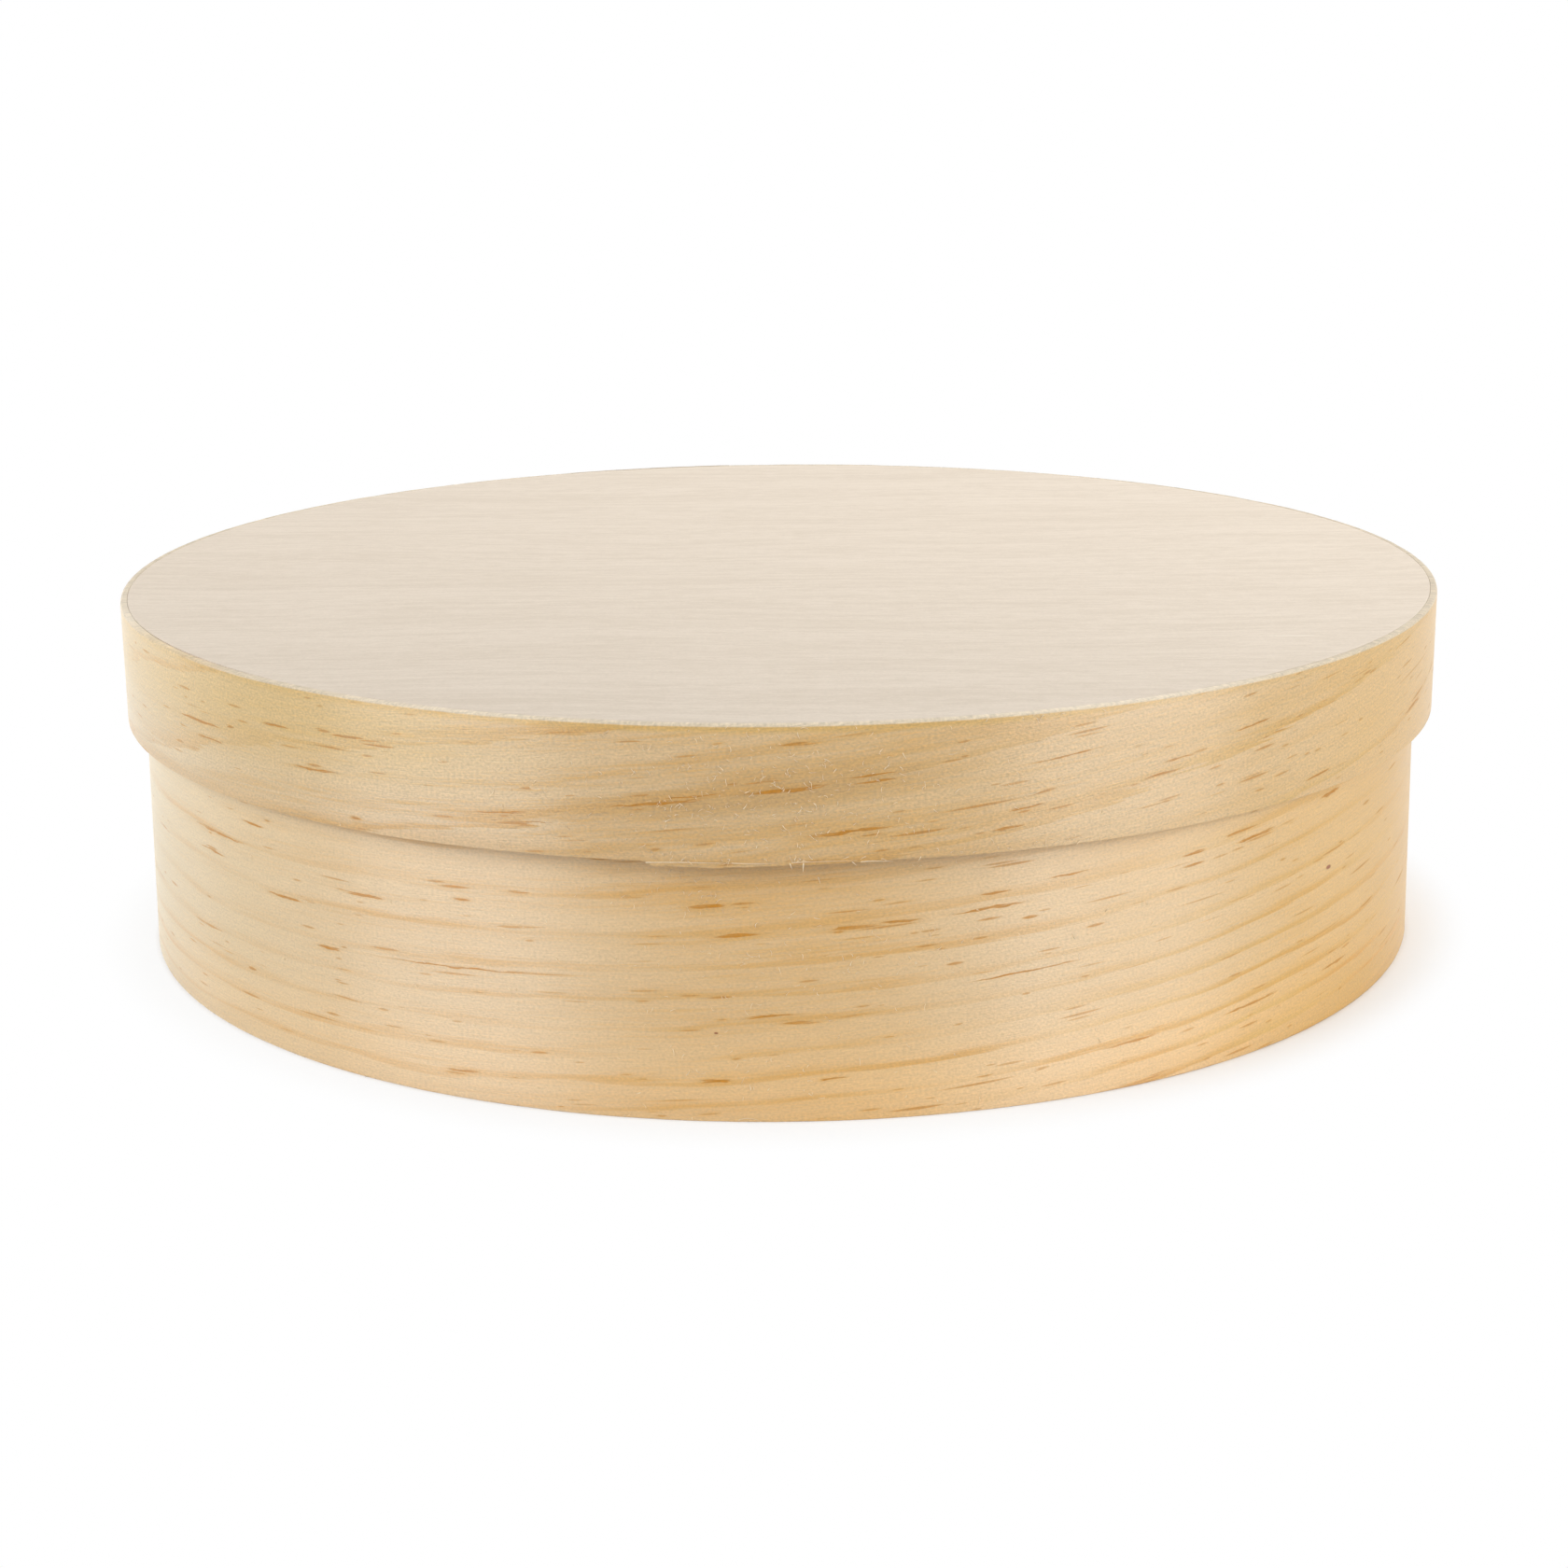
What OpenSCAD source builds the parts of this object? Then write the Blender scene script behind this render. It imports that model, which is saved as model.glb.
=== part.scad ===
// Round bentwood box with a lift-off lid. A thin strip of pine is bent into a ring for
// the wall and another for the lid's rim. The ends of each strip are skived and glued
// over each other at the back, and a plywood disc is glued inside each ring.

/* [Lid] */
// Outside diameter of the lid
lid_d = 200; // [120:1:320]
// Height of the strip round the lid
lid_strip_h = 17.8; // [8:0.1:45]
// Thickness of the strip round the lid
lid_strip_t = 1; // [0.8:0.1:3]
// Thickness of the lid's disc
lid_disc_t = 3; // [1.5:0.1:7]

/* [Box] */
// Height of the wall, from the table to the rim that the lid rests on
wall_h = 50; // [25:0.1:120]
// Thickness of the wall's strip
wall_t = 1; // [0.8:0.1:3]
// How far the wall leans in between its foot and its rim
wall_lean = 0.6; // [0:0.1:4]
// Thickness of the base disc
base_disc_t = 3; // [1.5:0.1:7]
// Room all round between the wall and the lower edge of the lid
lid_play = 1.7; // [0.4:0.1:4]

/* [Joints] */
// Length of the skived lap of each strip, measured round the strip
lap_len = 30; // [15:1:60]
// Thickness that the skived ends of a strip keep
lap_end_t = 0.3; // [0.2:0.05:0.4]
// Thickness of the glue film in a lap
lap_glue_t = 0.15; // [0.1:0.05:0.4]
// Width of the glue line between a disc's edge and its strip
disc_glue_t = 0.2; // [0.1:0.05:0.6]
// Depth of the open groove between that glue line and the disc's outer face
groove_depth = 0.6; // [0.2:0.1:1.2]
// Turn of the wall's lap from the middle of the back, in degrees
wall_lap_turn = -12; // [-60:1:60]
// Turn of the lid's lap from the middle of the back, in degrees
lid_lap_turn = 14; // [-60:1:60]

/* [Edges] */
// Rounding of the edge that hands rub, round the lid's top
worn_edge_r = 0.4; // [0.1:0.1:0.6]
// Rounding of the other sanded edges
sanded_edge_r = 0.2; // [0.1:0.05:0.25]

/* [Hidden] */

$fn = 180;
// Straight pieces in a quarter turn of a rounded edge
corner_steps = 4;
// How far a cutter runs past the face that it cuts
past = 1;

// Heights
total_h = wall_h + lid_disc_t;
lid_edge_z = total_h - lid_strip_h;

// Radii of the lid
lid_r = lid_d / 2;
lid_inner_r = lid_r - lid_strip_t;
lid_disc_r = lid_inner_r - disc_glue_t;

// Radii of the wall, which keeps its play at the height of the lid's lower edge
lean_per_mm = wall_lean / wall_h;
wall_foot_r = lid_inner_r - lid_play + lean_per_mm * lid_edge_z;
function wall_r(z) = wall_foot_r - lean_per_mm * z;
function wall_inner_r(z) = wall_r(z) - wall_t;
base_disc_r = wall_inner_r(base_disc_t) - disc_glue_t;

// Outlines, as [radius, height] points with a rounding for each corner
wall_outline = [
    [wall_inner_r(0), 0], [wall_r(0), 0],
    [wall_r(wall_h), wall_h], [wall_inner_r(wall_h), wall_h]
];
wall_rounding = [sanded_edge_r, sanded_edge_r, sanded_edge_r, sanded_edge_r];
lid_outline = [
    [lid_inner_r, lid_edge_z], [lid_r, lid_edge_z],
    [lid_r, total_h], [lid_inner_r, total_h]
];
lid_rounding = [sanded_edge_r, sanded_edge_r, worn_edge_r, sanded_edge_r];

function unit(v) = v / norm(v);

// The arc that rounds the corner p, which lies between the points before and after it
function corner_arc(before, p, after, r) =
    let(
        u = unit(before - p),
        v = unit(after - p),
        half = acos(u * v) / 2,
        centre = p + unit(u + v) * r / sin(half),
        first = p + u * r / tan(half) - centre,
        last = p + v * r / tan(half) - centre,
        sweep = acos(unit(first) * unit(last))
    )
    [
        for (i = [0 : corner_steps])
            let(
                a = sin(sweep * (1 - i / corner_steps)),
                b = sin(sweep * i / corner_steps)
            )
            centre + (a * first + b * last) / sin(sweep)
    ];

function rounded(points, radii) =
    let(n = len(points))
    [
        for (i = [0 : n - 1])
            each corner_arc(points[(i + n - 1) % n], points[i], points[(i + 1) % n], radii[i])
    ];

module ring(outline, rounding) {
    rotate_extrude()
        polygon(rounded(outline, rounding));
}

// The disc's face on the inside of the box is sharp, its outer face has a sanded edge
module disc(r, t) {
    rotate_extrude()
        polygon(concat(
            [[0, 0], [r, 0]],
            corner_arc([r, 0], [r, t], [0, t], sanded_edge_r),
            [[0, t]]
        ));
}

// The skived lap at the back of a ring, as a cutter as thick as its glue film. Its long
// part is a shell as round as the ring, set off to one side, so that it climbs through the
// strip from near one face to near the other. At each end a slot runs out to the face
// there, because the skived ends are left blunt.
module lap(foot_r, top_r, h, t, turn) {
    middle_r = foot_r - t / 2;
    climb = t - 2 * lap_end_t;
    offside = climb * middle_r / lap_len;
    shell_r = norm([middle_r, offside]);
    slope = (top_r - foot_r) / h;
    rotate(turn) {
        intersection() {
            translate([offside, 0, 0])
                difference() {
                    tapered(shell_r + lap_glue_t / 2, slope, h, past);
                    tapered(shell_r - lap_glue_t / 2, slope, h, 2 * past);
                }
            translate([-lap_len / 2, foot_r / 2, -past])
                cube([lap_len, foot_r, h + 2 * past]);
        }
        lap_slot(lap_len / 2, middle_r + climb / 2, lap_end_t + past, slope, h);
        lap_slot(-lap_len / 2, middle_r - climb / 2, -lap_end_t - past, slope, h);
    }
}

// The slot at one end of a lap: from the shell at radius r it runs out by reach, or in
// where that is negative, and it leans as the strip does
module lap_slot(along, r, reach, slope, h) {
    rotate(-asin(along / r))
        translate([0, r, 0])
            rotate([-atan(slope), 0, 0])
                translate([-lap_glue_t / 2, min(reach, 0) - lap_glue_t / 2, -past])
                    cube([lap_glue_t, abs(reach) + lap_glue_t, h + 2 * past]);
}

// A solid cone of radius foot_r at height 0, which runs past both ends of the height h
module tapered(foot_r, slope, h, over) {
    translate([0, 0, -over])
        cylinder(h = h + 2 * over, r1 = foot_r - slope * over, r2 = foot_r + slope * (h + over));
}

module wall_ring() {
    ring(wall_outline, wall_rounding);
}

module wall_lap() {
    lap(wall_r(0), wall_r(wall_h), wall_h, wall_t, wall_lap_turn);
}

module lid_ring() {
    ring(lid_outline, lid_rounding);
}

module lid_lap() {
    translate([0, 0, lid_edge_z])
        lap(lid_r, lid_r, lid_strip_h, lid_strip_t, lid_lap_turn);
}

module wall_strip() {
    color("burlywood")
        difference() {
            wall_ring();
            wall_lap();
        }
}

module wall_lap_glue() {
    color("peru")
        intersection() {
            wall_ring();
            wall_lap();
        }
}

module base_disc() {
    color("wheat")
        translate([0, 0, base_disc_t])
            mirror([0, 0, 1])
                disc(base_disc_r, base_disc_t);
}

module base_glue_line() {
    color("peru")
        rotate_extrude()
            polygon([
                [base_disc_r, groove_depth], [wall_inner_r(groove_depth), groove_depth],
                [wall_inner_r(base_disc_t), base_disc_t], [base_disc_r, base_disc_t]
            ]);
}

module lid_strip() {
    color("burlywood")
        difference() {
            lid_ring();
            lid_lap();
        }
}

module lid_lap_glue() {
    color("peru")
        intersection() {
            lid_ring();
            lid_lap();
        }
}

module lid_disc() {
    color("wheat")
        translate([0, 0, wall_h])
            disc(lid_disc_r, lid_disc_t);
}

module lid_glue_line() {
    color("peru")
        translate([0, 0, wall_h])
            rotate_extrude()
                translate([lid_disc_r, 0])
                    square([disc_glue_t, lid_disc_t - groove_depth]);
}

wall_strip();
base_disc();
wall_lap_glue();
base_glue_line();
lid_strip();
lid_disc();
lid_lap_glue();
lid_glue_line();
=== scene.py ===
import bmesh
import bpy
import math
import random
from mathutils import Matrix, Vector, noise


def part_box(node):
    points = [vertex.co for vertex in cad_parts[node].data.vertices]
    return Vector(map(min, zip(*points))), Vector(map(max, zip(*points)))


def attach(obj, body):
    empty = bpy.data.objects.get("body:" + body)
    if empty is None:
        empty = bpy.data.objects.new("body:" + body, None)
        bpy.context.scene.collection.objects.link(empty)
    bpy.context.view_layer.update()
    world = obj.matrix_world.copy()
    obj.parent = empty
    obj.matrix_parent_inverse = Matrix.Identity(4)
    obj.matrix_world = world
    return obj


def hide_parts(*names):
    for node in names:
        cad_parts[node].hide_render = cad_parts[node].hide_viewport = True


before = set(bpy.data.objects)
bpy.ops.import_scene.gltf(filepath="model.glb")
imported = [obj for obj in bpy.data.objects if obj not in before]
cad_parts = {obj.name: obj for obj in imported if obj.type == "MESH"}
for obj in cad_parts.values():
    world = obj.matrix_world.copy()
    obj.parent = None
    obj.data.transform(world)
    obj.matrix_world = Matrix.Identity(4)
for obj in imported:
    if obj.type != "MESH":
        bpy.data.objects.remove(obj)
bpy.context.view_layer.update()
mm = 0.001

# sizes that the pieces share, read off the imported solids
wallLow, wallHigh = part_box("wall_strip")
lidLow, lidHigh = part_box("lid_strip")
wallLapLow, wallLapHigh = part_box("wall_lap_glue")
lidLapLow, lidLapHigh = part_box("lid_lap_glue")
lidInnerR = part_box("lid_glue_line")[1][0]
lidR = lidHigh[0]
wallR = wallHigh[0]
stripT = lidR - lidInnerR
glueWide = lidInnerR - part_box("lid_disc")[1][0]
print("frame read: lid radius %.1f mm, strip %.2f mm thick" % (lidR / mm, stripT / mm))


# one socket of a material's nodes: arithmetic on it adds Math nodes
class Sock:
    def __init__(self, tree, socket=None):
        self.tree = tree
        self.socket = socket

    def node(self, kind, settings, inputs, out=0):
        made = self.tree.nodes.new(kind)
        for name, value in settings.items():
            setattr(made, name, value)
        for name, value in inputs.items():
            if isinstance(value, Sock):
                self.tree.links.new(value.socket, made.inputs[name])
            else:
                made.inputs[name].default_value = value
        if made.outputs:
            return Sock(self.tree, made.outputs[out])

    def math(self, operation, *others):
        values = dict(enumerate((self,) + others))
        return self.node("ShaderNodeMath", {"operation": operation}, values)

    def __add__(self, other):
        return self.math("ADD", other)

    def __sub__(self, other):
        return self.math("SUBTRACT", other)

    def __rsub__(self, other):
        return self * -1 + other

    def __mul__(self, other):
        return self.math("MULTIPLY", other)

    def __truediv__(self, other):
        return self.math("DIVIDE", other)

    def __pow__(self, other):
        return self.math("POWER", other)

    def __lt__(self, other):
        return self.math("LESS_THAN", other)

    __radd__ = __add__
    __rmul__ = __mul__


def newMaterial(name):
    material = bpy.data.materials.new(name)
    material.use_nodes = True
    material.node_tree.nodes.clear()
    return material, Sock(material.node_tree)


def split(vector):
    made = vector.node("ShaderNodeSeparateXYZ", {}, {0: vector})
    return [Sock(made.tree, socket) for socket in made.socket.node.outputs]


def join(x, y, z=0.0):
    return x.node("ShaderNodeCombineXYZ", {}, {0: x, 1: y, 2: z})


# 0 below low, 1 above high, and an S between
def ease(value, low, high):
    sockets = {"Value": value, "From Min": low, "From Max": high}
    return value.node("ShaderNodeMapRange", {"interpolation_type": "SMOOTHSTEP"}, sockets)


def mixColour(amount, first, second):
    return amount.node("ShaderNodeMix", {"data_type": "RGBA"}, {0: amount, 6: first, 7: second}, 2)


# noise, mostly from -1 to 1, whose lumps are longMm along the grain and highMm across it
def lumps(along, up, longMm, highMm, seed, detail=1.0):
    place = join(along / longMm, up / highMm, seed)
    made = along.node("ShaderNodeTexNoise", {}, {"Vector": place, "Scale": 1.0, "Detail": detail})
    return made * 4 - 2


# gloss holds the numbers that are the same all over the surface
def finishMaterial(start, colour, rough, height, bumpMm, gloss):
    bump = start.node("ShaderNodeBump", {}, {"Strength": 1.0, "Distance": bumpMm * mm, "Height": height})
    sockets = {"Base Color": colour, "Roughness": rough, "Normal": bump}
    sockets.update(gloss)
    shader = start.node("ShaderNodeBsdfPrincipled", {}, sockets)
    start.node("ShaderNodeOutputMaterial", {}, {"Surface": shader})


def brighten(colour, factor):
    return colour.node("ShaderNodeVectorMath", {"operation": "SCALE"}, {0: colour, "Scale": factor})


# how the dark core and the pale halo of a streak fade out, in halves of its thickness, and how
# much it narrows to its ends
streakLook = {
    "taper": 1.2,
    "core": (0.6, 1.7), "halo": (0.6, 6.0),
    "placedCore": (0.8, 2.0), "placedHalo": (0.6, 5.0),
}

# resin ducts cut lengthwise: thin dashes, each in a cell of its own, sizes in mm
resinStreaks = [
    {"cell": (34, 2.4), "half": (2.5, 9.0), "thick": 0.12, "share": 0.22, "seed": 3.1, "ink": 0.9},
    {"cell": (15, 1.3), "half": (1.2, 4.6), "thick": 0.12, "share": 0.26, "seed": 8.7, "ink": 0.9},
    {"cell": (6.5, 0.6), "half": (0.6, 2.6), "thick": 0.09, "share": 0.20, "seed": 5.3, "ink": 0.75},
]


def streaks(along, up, crowd, look):
    cellLong, cellHigh = look["cell"]
    shortest, longest = look["half"]
    place = join(along / cellLong + look["seed"], up / cellHigh + look["seed"])
    sockets = {"Vector": place, "Scale": 1.0, "Randomness": 0.9}
    cells = along.node("ShaderNodeTexVoronoi", {"voronoi_dimensions": "2D"}, sockets)
    outputs = cells.socket.node.outputs
    x, y = split(place)[:2]
    cellX, cellY = split(Sock(along.tree, outputs["Position"]))[:2]
    lot = Sock(along.tree, outputs["Color"])
    dice = along.node("ShaderNodeTexWhiteNoise", {}, {"Vector": lot}, "Color")
    red, green, blue = split(dice)
    half = green * green * (longest - shortest) + shortest
    across = (x - cellX) * cellLong / half
    away = (y - cellY).math("ABSOLUTE") * cellHigh / (blue * look["thick"] + look["thick"] / 2)
    far = away + across * across * streakLook["taper"]
    kept = red < crowd * look["share"]
    core = (1 - ease(far, *streakLook["core"])) * kept * (blue * 0.4 + 0.6) * look["ink"]
    halo = (1 - ease(far, *streakLook["halo"])) * kept * look["ink"]
    return core, halo


# how steeply the grain climbs: level at the left, then more and more
def climbAt(look, at):
    return look["climb"] / (1 + math.exp((look["from"] - at) / look["bend"]))


def climbed(along, look):
    steps = (along - look["from"]) / look["bend"]
    grown = steps.math("EXPONENT") + 1
    return grown.math("LOGARITHM", math.e) * look["climb"] * look["bend"]


# one of the streaks that stand out in the photo: where its middle is, half its length and
# half its thickness, in mm; it climbs with the grain and parts into two strands
def placedStreak(along, up, parted, slope, mark):
    at, level, halfLong, halfThick = mark
    run = along - at
    across = run / halfLong
    away = (up - level - run * slope).math("ABSOLUTE") / halfThick
    strand = (away - parted * 0.6).math("ABSOLUTE") * 2
    narrow = across * across * streakLook["taper"]
    core = 1 - ease(strand + narrow, *streakLook["placedCore"])
    return core, 1 - ease(away + narrow, *streakLook["placedHalo"])


pineLook = {
    "early": (0.66, 0.475, 0.26, 1),
    "late": (0.575, 0.335, 0.105, 1),
    "line": (0.59, 0.29, 0.03, 1),
    "resin": (0.47, 0.19, 0.0, 1),
    # the colour of the painted light at the wall's foot
    "warm": (0.74, 0.475, 0.195, 1),
    "rim": (0.72, 0.605, 0.44, 1),
    "ochre": (0.62, 0.385, 0.10, 1),
    "amber": (0.675, 0.43, 0.15, 1),
    # pale is the whiter colour of the painted sheen on the left of the front
    "pale": (0.61, 0.515, 0.32, 1),
    "footAmber": (0.53, 0.295, 0.04, 1),
    "gold": (0.63, 0.435, 0.155, 1),
    # the colour of the painted shade in the middle of the lid's front
    "paintedShadeBrown": (0.46, 0.295, 0.12, 1),
    "speck": (0.28, 0.07, 0.0, 1),
    # painted highlight: a paler colour laid where the lamps' sheen falls on the front
    "paintedHighlight": (0.735, 0.56, 0.35, 1),
    "roughness": 0.37, "bumpMm": 0.02,
    "gloss": {"IOR": 1.55, "Specular IOR Level": 1.0, "Anisotropic": 1.0, "Anisotropic Rotation": 0.25},
}

# layers of noise in the pine: how long their lumps are along the grain and how high across
# it, in mm, a seed, and the detail
pineGrain = {
    "drift": (38, 12, 11.0, 1.0),
    "fibre": (9, 0.32, 7.0, 2.0),
    "hair": (3, 0.13, 17.0, 1.0),
    "nap": (0.42, 0.3, 9.0, 2.0),
    "bands": (36, 2.1, 5.0, 2.0),
    "broad": (75, 10, 15.0, 1.0),
    "clear": (30, 0.27, 23.0, 1.0),
    "crowd": (42, 4.5, 2.0, 1.0),
    "cluster": (15, 1.5, 29.0, 1.0),
    "ragged": (3.5, 1, 31.0, 2.0),
    "parted": (2.5, 1, 37.0, 2.0),
}


# rings gives a number that grows by one from each growth ring to the next; washes are
# soft changes of colour, each a colour and where it lies, some of them stains and some painted
# highlight, sheen, shade and light; rim and ochre are the heights in mm between which the
# colour of the strip's upper edge and the stain below it set in
def pine(name, figure):
    material, start = newMaterial(name)
    flat = start.node("ShaderNodeAttribute", {"attribute_name": "flat"}, {}, "Vector")
    along, depth, up = [value / mm for value in split(flat)]

    def layer(layerName, level):
        return lumps(along, level, *pineGrain[layerName])

    grain = figure["grain"](along, up) + layer("drift", up) * 0.35
    fibre = layer("fibre", grain)
    hair = layer("hair", grain)
    nap = layer("nap", up)
    bands = layer("bands", grain)
    broad = layer("broad", grain)
    rings = figure["rings"](along, up, depth) + fibre * 0.06 + bands * 0.1
    phase = rings.math("FRACT")
    clear = ease(layer("clear", rings - phase), -0.6, 1.1)
    bandFrom, bandTo = figure["lateBand"]
    fresh = 1 - ease(phase, bandTo, 1.0)
    vivid = figure["vivid"](along, up)
    band = ease(phase, bandFrom, bandTo) * fresh
    late = (phase ** 2.0 * fresh * 0.6 + band * 0.5) * vivid
    line = band * clear * vivid
    crowd = ease(layer("crowd", grain), -0.5, 1.3) * 1.8 + band * 0.9 + 0.2
    crowd = crowd * figure["streakShare"]
    cluster = ease(layer("cluster", grain), 0.1, 1.2)
    tone = late * (broad * 0.3 + 1) * figure["lateDepth"] + broad * 0.15 + cluster * 0.18
    rich = figure["rich"]
    tone = tone + bands * figure["bandDepth"] + (fibre * 0.3 + hair * 0.16 + nap * 0.12) * rich
    # painted shade in the middle of the front
    tone = tone + figure["flame"](along, up)
    ink = hair * 0.0
    for look in resinStreaks:
        core, halo = streaks(along, grain, crowd * (cluster * 1.4 + 0.5), look)
        tone = tone + halo * 0.36
        ink = ink.math("MAXIMUM", core)
    ragged = up + layer("ragged", up) * 0.14
    parted = ease(layer("parted", up), -0.5, 0.7)
    for mark in figure["marks"]:
        core, halo = placedStreak(along, ragged, parted, climbAt(figure, mark[0]), mark)
        tone = tone + halo * 0.5
        ink = ink.math("MAXIMUM", core)
    ink = ink * (ease(hair, -0.5, 0.4) * 0.3 + 0.7)
    wood = mixColour(ease(tone, -0.25, 1.05), pineLook["early"], pineLook["late"])
    for colour, amount in figure["washes"]:
        wood = mixColour(amount(along, up), wood, pineLook[colour])
    wood = mixColour(late * figure["lateRight"] * ease(along, 10, 80), wood, pineLook["ochre"])
    wood = mixColour(line * figure["lineDepth"], wood, pineLook["line"])
    wood = mixColour(ink, wood, pineLook["resin"])
    edge = ease(up, *figure["rim"])
    if "ochre" in figure:
        stained = ease(up, *figure["ochre"]) * figure["ochreShare"](along)
        wood = mixColour(stained, wood, pineLook["ochre"])
    wood = mixColour(edge * figure["rimShare"](along), wood, pineLook["rim"])
    for place, level, size in figure["specks"]:
        far = ((along - place) ** 2 + (up - level) ** 2 * 5) ** 0.5
        wood = mixColour(1 - ease(far, size / 2, size), wood, pineLook["speck"])
    light = (nap * 0.13 + hair * 0.07 + fibre * 0.03) * rich + figure["bright"]
    # painted light: the wall's foot made brighter, as if lit from the white floor
    light = light + (1 - ease(up, 2, 18)) * figure["paintedFootLight"]
    wood = brighten(wood, light)
    rough = pineLook["roughness"] + nap * 0.05 + ink * 0.2 + edge * 0.3
    height = fibre * 0.4 + hair * 0.4 + nap * 0.5 + late * 0.4
    finishMaterial(start, wood, rough, height, pineLook["bumpMm"], pineLook["gloss"])
    return material


# 1 from left to right along a strip, soft at both ends
def stretch(along, left, right):
    return ease(along, left - 14, left + 8) * (1 - ease(along, right - 8, right + 14))


# 1 round the front, 0 at the back, where the ends of a strip meet
def frontHalf(along):
    return ease(along, -270, -150) * (1 - ease(along, 150, 270))


def amberRight(along):
    return (ease(along, -60, 75) * 0.6 + ease(along, 70, 105) * 0.24) * frontHalf(along)


# painted sheen: the left side of the front made paler and whiter, as where the lamps graze it
def paintedSheenLeft(along, up):
    left = (1 - ease(along, -115, -35)) * 0.55 + (1 - ease(along, -128, -102)) * 0.25
    return left * frontHalf(along) * (ease(up, 0, 14) * 0.25 + 0.75)


# growth rings of the wall: level at the left, then climbing to the right; late is the darker
# wood of each ring, and lateRight how much of its ochre shows at the right; rich is how strong
# the fine grain is; stray is noise that the rings follow, its length, height and seed, and how
# far it takes them, in mm; specks and marks are listed in mm along the front and up the
# strip, a speck with its radius and a streak with half its length and thickness
wallFigure = {
    "climb": 0.08, "bend": 15, "from": -45, "first": 7.64, "wide": 3.33, "narrowing": 455,
    "stray": [((55, 16, 1.0), 0.6), ((17, 6, 4.0), 0.3)],
    "lateDepth": 0.75, "lateBand": (0.62, 0.9), "lateRight": 0.45, "lineDepth": 0.62, "bandDepth": 0.42,
    "rich": 1.05, "bright": 1.04, "paintedFootLight": 0.09, "streakShare": 1.0, "rim": (49.5, 49.8),
    "specks": [(85.8, 22.4, 0.85), (-8.5, 12.0, 0.36)],
    "marks": [
        (-92.0, 24.8, 3.5, 0.18), (-89.8, 27.8, 6.5, 0.18), (-80.4, 31.2, 2.4, 0.16),
        (-73.7, 22.3, 3.4, 0.18), (-65.0, 17.0, 2.0, 0.18), (-58.0, 25.5, 3.0, 0.17),
        (-43.0, 18.0, 11.0, 0.12), (-42.4, 27.3, 1.2, 0.17), (-43.0, 3.9, 2.2, 0.18),
        (-9.5, 28.8, 2.2, 0.26), (-5.7, 25.0, 2.7, 0.20), (-1.6, 14.3, 3.0, 0.14),
        (-8.6, 5.5, 1.8, 0.28), (6.4, 5.8, 1.7, 0.16), (15.0, 26.4, 2.4, 0.20),
        (26.7, 27.2, 4.5, 0.18), (27.4, 29.2, 1.9, 0.17), (37.6, 30.5, 2.5, 0.17),
        (31.4, 18.2, 7.0, 0.12), (47.4, 6.3, 4.0, 0.15), (57.0, 30.4, 1.9, 0.17),
        (57.0, 28.9, 1.8, 0.15), (68.5, 30.7, 3.4, 0.22), (68.5, 7.2, 5.0, 0.18),
        (85.6, 33.0, 2.4, 0.24), (88.4, 7.8, 3.2, 0.22),
    ],
}


def wallRings(along, up, depth):
    look = wallFigure
    level = up - climbed(along, look)
    for lump, far in look["stray"]:
        level = level + lumps(along, up, *lump) * far
    return level * level / look["narrowing"] - level / look["wide"] + look["first"] + depth * 0.12


# painted shade: the middle of the wall's front made browner and darker just below the lid, between the
# highlights
def wallShadeBelowLid(along, up):
    level = (up - 31) / 13
    away = along / 22
    return (1 - ease((level * level + away * away) ** 0.5, 0.1, 1.2)) * 0.4


def wallFoot(up):
    return (1 - ease(up, 2, 16)) * 0.7


wallFigure["rings"] = wallRings
wallFigure["grain"] = lambda along, up: up - climbed(along, wallFigure)
wallFigure["flame"] = wallShadeBelowLid
wallFigure["rimShare"] = lambda along: 1
wallFigure["vivid"] = lambda along, up: ease(along, -30, 80) * (1 - ease(up, 8, 30)) * 1.1 + 0.7
wallFigure["washes"] = [
    ("amber", lambda along, up: amberRight(along)),
    # painted highlights: paler bands where the lamps' sheen falls on the front, weaker just below the
    # lid where its shade falls
    ("paintedHighlight", lambda along, up: stretch(along, -78, -24) * (0.36 - ease(up, 22, 34) * 0.2)),
    ("paintedHighlight", lambda along, up: stretch(along, 16, 68) * (0.4 - ease(up, 22, 34) * 0.14)),
    ("paintedHighlight", lambda along, up: stretch(along, 26, 34) * 0.45),
    ("late", lambda along, up: stretch(along, -14, 12) * 0.14),
    # painted sheen on the left of the wall
    ("pale", paintedSheenLeft),
    # painted light: the wall's foot made warmer and brighter, as if lit from the floor
    ("warm", lambda along, up: wallFoot(up) * (ease(along, -70, 60) + stretch(along, -100, -50) * 0.25)),
    # painted highlight at the foot of the wall
    ("paintedHighlight", lambda along, up: wallFoot(up) * stretch(along, 26, 42) * 0.4),
    ("footAmber", lambda along, up: wallFoot(up) * ease(along, 55, 100) * frontHalf(along)),
    ("footAmber", lambda along, up: ease(along, 80, 108) * frontHalf(along) * 0.36),
]

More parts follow.
